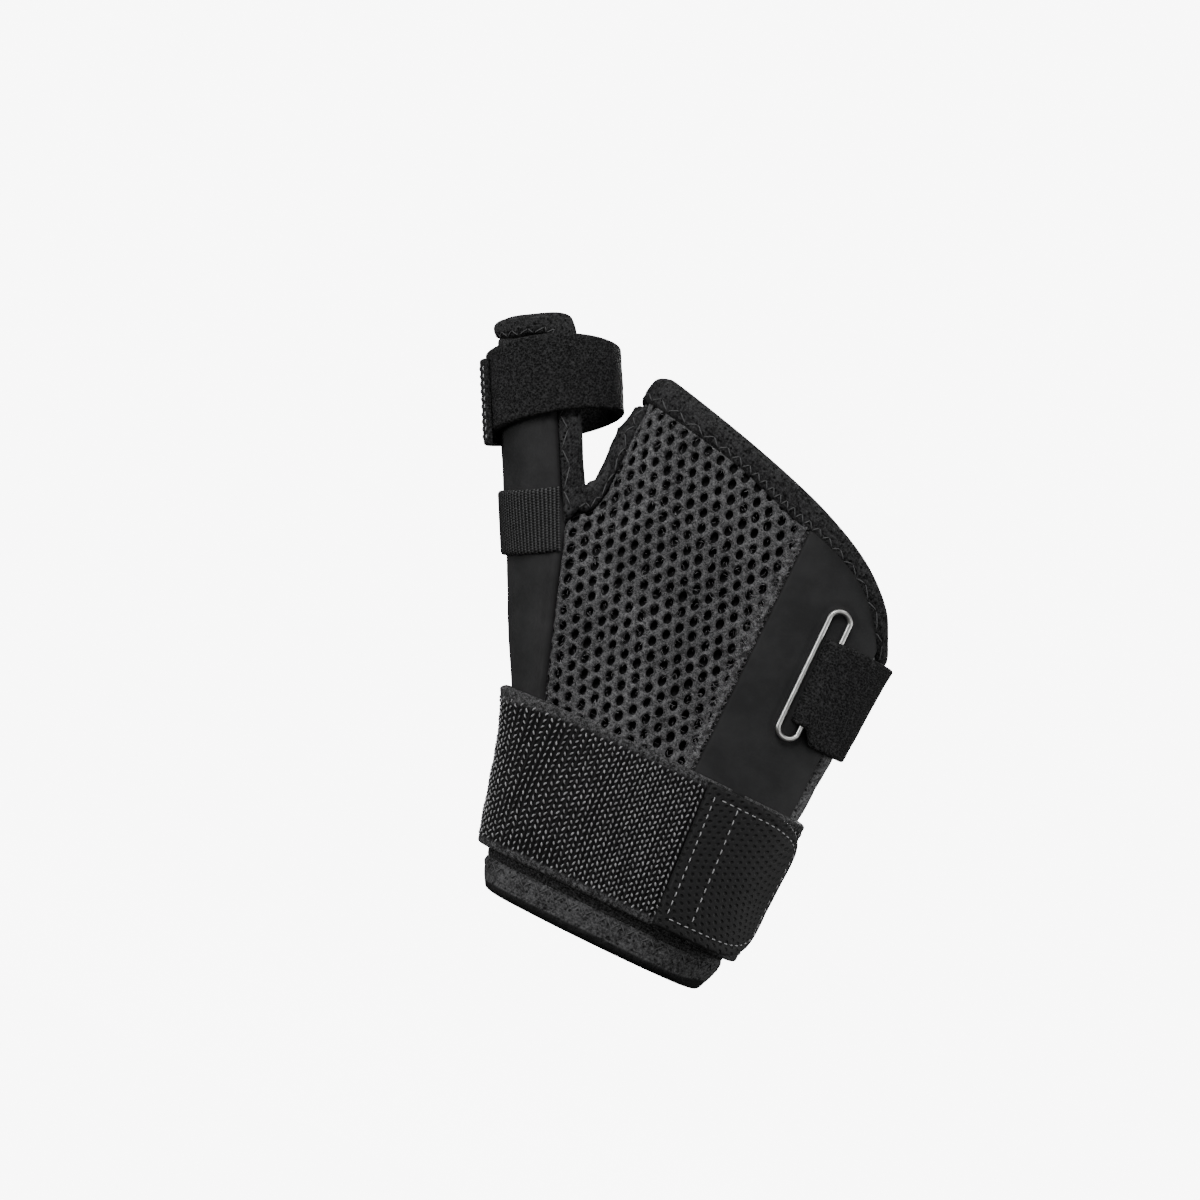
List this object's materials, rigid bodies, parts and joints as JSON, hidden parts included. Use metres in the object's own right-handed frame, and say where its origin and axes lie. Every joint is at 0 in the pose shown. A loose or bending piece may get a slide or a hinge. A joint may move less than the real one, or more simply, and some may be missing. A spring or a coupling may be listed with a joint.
{
  "type": "thumb spica splint",
  "caption": "Right-hand wrist and thumb splint in its worn shape: bound fabric body with a thumb panel, loop straps, an elastic wrist strap and a slot for the palm strap.",
  "frame": {"origin": "middle of the wrist, on the forearm's axis inside the cuff", "axes": "+Z along the forearm towards the fingers, -Y out of the back of the hand, -X towards the thumb"},
  "size_m": [0.1295, 0.0551, 0.1415],
  "materials": {
    "smooth_panel": "smooth satin film on fabric",
    "open_mesh": "open spacer mesh",
    "palm_fabric": "plain brushed knit",
    "knit_binding": "knitted edge binding, zigzag stitched",
    "ribbed_elastic": "ribbed elastic",
    "loop_strap": "brushed loop pile",
    "woven_elastic": "heavy woven elastic",
    "embossed_tab": "matte, small dimples, stitched",
    "steel_wire": "satin wire ring"
  },
  "bodies": {
    "root": {"wrist_cuff": "smooth_panel", "thumb_panel": "smooth_panel", "stay_panel": "smooth_panel", "mesh_panel": "open_mesh", "palm_panel": "palm_fabric", "finger_binding": "knit_binding", "ulnar_binding": "knit_binding", "wrist_binding": "knit_binding", "web_binding": "knit_binding", "thumb_binding": "knit_binding", "thumb_elastic": "ribbed_elastic", "thumb_strap": "loop_strap", "thumb_strap_tab": "loop_strap", "palm_strap": "loop_strap", "wrist_strap": "woven_elastic", "strap_tab": "embossed_tab", "slot_ring": "steel_wire"}
  },
  "joints": []
}
